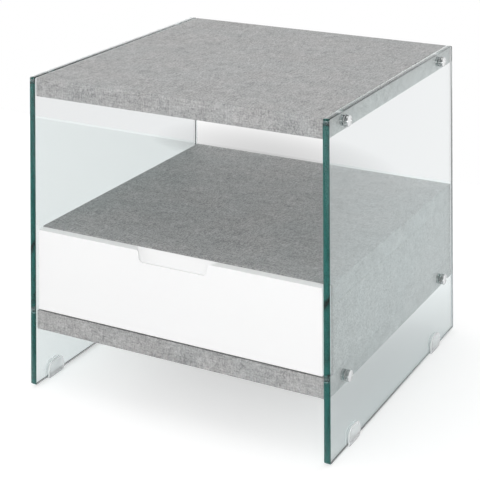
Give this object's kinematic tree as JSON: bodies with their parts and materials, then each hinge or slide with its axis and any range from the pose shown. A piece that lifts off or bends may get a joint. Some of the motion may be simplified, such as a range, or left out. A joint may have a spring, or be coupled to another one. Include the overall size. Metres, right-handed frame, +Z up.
{
  "type": "side table with drawer",
  "caption": "Low side table: glass side panes carry a top board and a low case with a sliding drawer, its front scooped at the top as a finger pull; open compartment above.",
  "frame": {"origin": "on the floor, under the middle of the table", "axes": "+X to the right as seen by someone facing the drawer, +Y to the back, +Z up; the drawer opens towards -Y"},
  "size_m": [0.513, 0.49, 0.47],
  "materials": {
    "glass": "clear toughened float glass, polished edges with a green tint",
    "clear_plastic": "clear moulded plastic",
    "concrete_laminate": "particle board faced with matt concrete-grey laminate",
    "white_lacquer": "white lacquered board, satin",
    "white_board": "white faced board, matt",
    "chrome": "polished chrome",
    "brass": "plain brass",
    "white_steel": "white epoxy-coated sheet steel",
    "nylon": "off-white nylon"
  },
  "bodies": {
    "table": {"left_glass_pane": "glass", "left_front_glide": "clear_plastic", "left_rear_glide": "clear_plastic", "left_case_side": "concrete_laminate", "left_case_rail": "white_steel", "left_upper_front_cap_bolt": "chrome", "left_upper_front_outer_washer": "clear_plastic", "left_upper_front_glass_bush": "clear_plastic", "left_upper_front_insert": "brass", "left_upper_rear_cap_bolt": "chrome", "left_upper_rear_outer_washer": "clear_plastic", "left_upper_rear_glass_bush": "clear_plastic", "left_upper_rear_insert": "brass", "left_lower_front_cap_bolt": "chrome", "left_lower_front_outer_washer": "clear_plastic", "left_lower_front_glass_bush": "clear_plastic", "left_lower_front_insert": "brass", "left_lower_rear_cap_bolt": "chrome", "left_lower_rear_outer_washer": "clear_plastic", "left_lower_rear_glass_bush": "clear_plastic", "left_lower_rear_insert": "brass", "right_glass_pane": "glass", "right_front_glide": "clear_plastic", "right_rear_glide": "clear_plastic", "right_case_side": "concrete_laminate", "right_case_rail": "white_steel", "right_upper_front_cap_bolt": "chrome", "right_upper_front_outer_washer": "clear_plastic", "right_upper_front_glass_bush": "clear_plastic", "right_upper_front_insert": "brass", "right_upper_rear_cap_bolt": "chrome", "right_upper_rear_outer_washer": "clear_plastic", "right_upper_rear_glass_bush": "clear_plastic", "right_upper_rear_insert": "brass", "right_lower_front_cap_bolt": "chrome", "right_lower_front_outer_washer": "clear_plastic", "right_lower_front_glass_bush": "clear_plastic", "right_lower_front_insert": "brass", "right_lower_rear_cap_bolt": "chrome", "right_lower_rear_outer_washer": "clear_plastic", "right_lower_rear_glass_bush": "clear_plastic", "right_lower_rear_insert": "brass", "top_board": "concrete_laminate", "shelf_board": "concrete_laminate", "base_board": "concrete_laminate", "case_back": "concrete_laminate"},
    "drawer": {"drawer_front": "white_lacquer", "drawer_left_side": "white_board", "drawer_right_side": "white_board", "drawer_back": "white_board", "drawer_bottom": "white_board", "left_drawer_rail": "white_steel", "right_drawer_rail": "white_steel"},
    "left_case_roller": {"left_case_roller": "nylon"},
    "left_drawer_roller": {"left_drawer_roller": "nylon"},
    "right_case_roller": {"right_case_roller": "nylon"},
    "right_drawer_roller": {"right_drawer_roller": "nylon"}
  },
  "joints": [
    {"name": "drawer_slide", "type": "slide", "parent": "table", "child": "drawer", "axis": [0, -1, 0], "range_m": [0, 0.3]},
    {"name": "left_case_roller_spin", "type": "hinge", "parent": "table", "child": "left_case_roller", "pos_m": [-0.2177, -0.2105, 0.13975], "axis": [1, 0, 0], "continuous": true},
    {"name": "left_drawer_roller_spin", "type": "hinge", "parent": "drawer", "child": "left_drawer_roller", "pos_m": [-0.2177, 0.1625, 0.13935], "axis": [1, 0, 0], "continuous": true},
    {"name": "right_case_roller_spin", "type": "hinge", "parent": "table", "child": "right_case_roller", "pos_m": [0.2177, -0.2105, 0.13975], "axis": [1, 0, 0], "continuous": true},
    {"name": "right_drawer_roller_spin", "type": "hinge", "parent": "drawer", "child": "right_drawer_roller", "pos_m": [0.2177, 0.1625, 0.13935], "axis": [1, 0, 0], "continuous": true}
  ],
  "couplings": [
    {"joint": "left_case_roller_spin", "follows": "drawer_slide", "rad_per_m": 108.11},
    {"joint": "left_drawer_roller_spin", "follows": "drawer_slide", "rad_per_m": 105.26},
    {"joint": "right_case_roller_spin", "follows": "drawer_slide", "rad_per_m": 108.11},
    {"joint": "right_drawer_roller_spin", "follows": "drawer_slide", "rad_per_m": 105.26}
  ]
}
